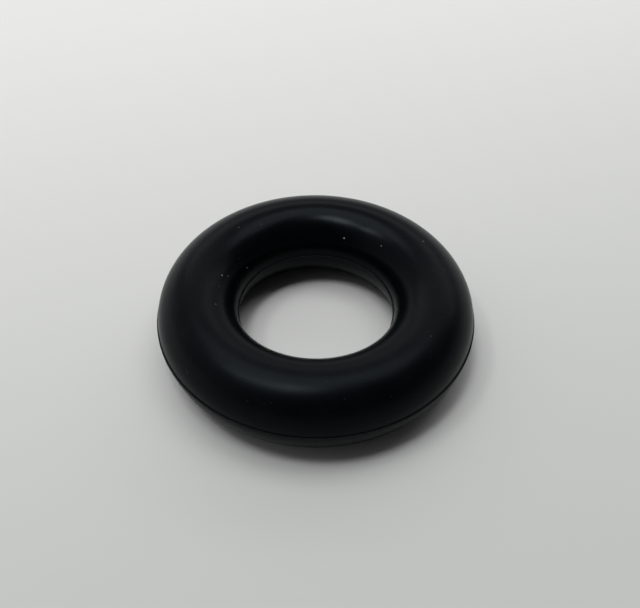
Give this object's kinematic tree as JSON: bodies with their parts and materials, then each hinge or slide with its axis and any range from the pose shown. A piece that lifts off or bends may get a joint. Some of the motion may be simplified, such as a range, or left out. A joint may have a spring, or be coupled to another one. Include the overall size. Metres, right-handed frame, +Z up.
{
  "type": "rubber ring",
  "caption": "Moulded rubber ring of round section with a narrow parting land round its outside and inside, lying flat.",
  "frame": {"origin": "centre of the ring, on the surface that it lies on", "axes": "+Z up along the ring's axis; X and Y lie in the surface and are alike"},
  "size_m": [0.0404, 0.0404, 0.0103],
  "materials": {
    "rubber": "matte"
  },
  "bodies": {
    "root": {"rubber_ring": "rubber"}
  },
  "joints": []
}
